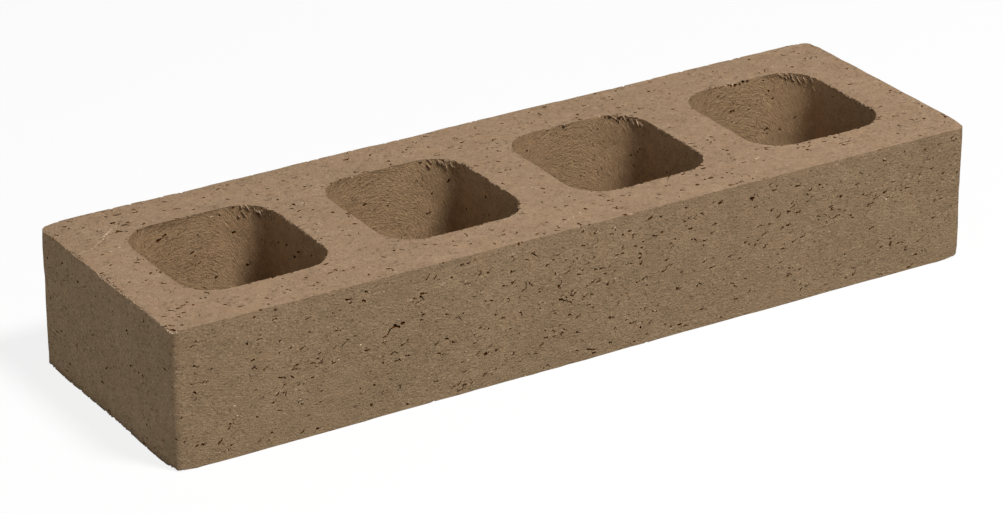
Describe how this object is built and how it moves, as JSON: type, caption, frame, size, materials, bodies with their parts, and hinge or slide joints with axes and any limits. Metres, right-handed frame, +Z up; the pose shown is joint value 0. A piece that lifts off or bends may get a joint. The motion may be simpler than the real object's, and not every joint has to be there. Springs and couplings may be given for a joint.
{
  "type": "long cored brick",
  "caption": "Long brown brick with a row of rounded square cores through it, laid in mortar to build walls.",
  "frame": {"origin": "middle of the lower bed, where the brick rests", "axes": "+X along the length, +Y across the width, +Z up through the cores from bed to bed"},
  "size_m": [0.296, 0.09, 0.047],
  "materials": {
    "brick_body": "matte"
  },
  "bodies": {
    "root": {"brick": "brick_body"}
  },
  "joints": []
}
